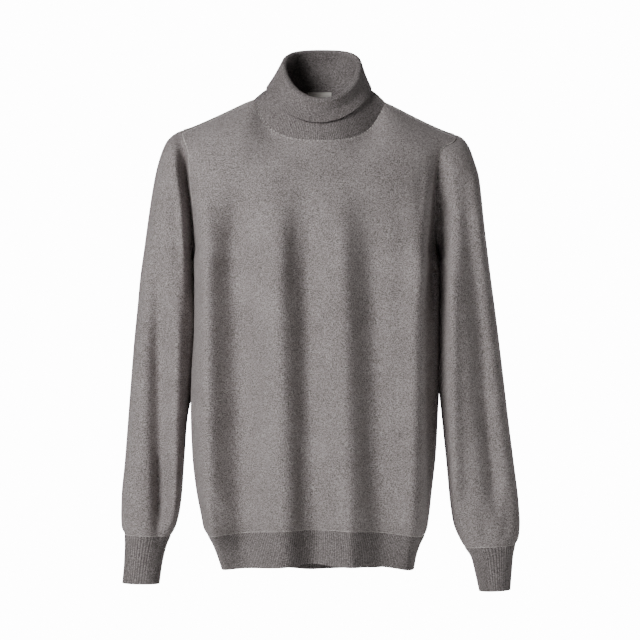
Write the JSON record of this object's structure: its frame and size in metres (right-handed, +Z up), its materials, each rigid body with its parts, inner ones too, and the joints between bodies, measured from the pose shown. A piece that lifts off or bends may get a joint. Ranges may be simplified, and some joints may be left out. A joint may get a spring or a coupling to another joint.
{
  "type": "turtleneck sweater",
  "caption": "Long-sleeved knitted turtleneck sweater, hollow and filled out as worn, with a turned-down ribbed collar and ribbed cuffs and hem.",
  "frame": {"origin": "middle of the neck base, level with the high point of the shoulders, where the wearer's shoulders hold it", "axes": "+Z up, the front faces -Y, +X towards the viewer's right as seen from the front"},
  "size_m": [0.588, 0.249, 0.8021],
  "materials": {
    "heather_wool_knit": "matt fine-gauge knit, heather grey",
    "heather_wool_rib": "matt fine ribbed knit, heather grey",
    "label_tape": "woven tape, left bare"
  },
  "bodies": {
    "root": {"front_panel": "heather_wool_knit", "back_panel": "heather_wool_knit", "left_sleeve": "heather_wool_knit", "right_sleeve": "heather_wool_knit", "collar": "heather_wool_rib", "front_hem_rib": "heather_wool_rib", "back_hem_rib": "heather_wool_rib", "left_cuff": "heather_wool_rib", "right_cuff": "heather_wool_rib", "neck_label": "label_tape"}
  },
  "joints": []
}
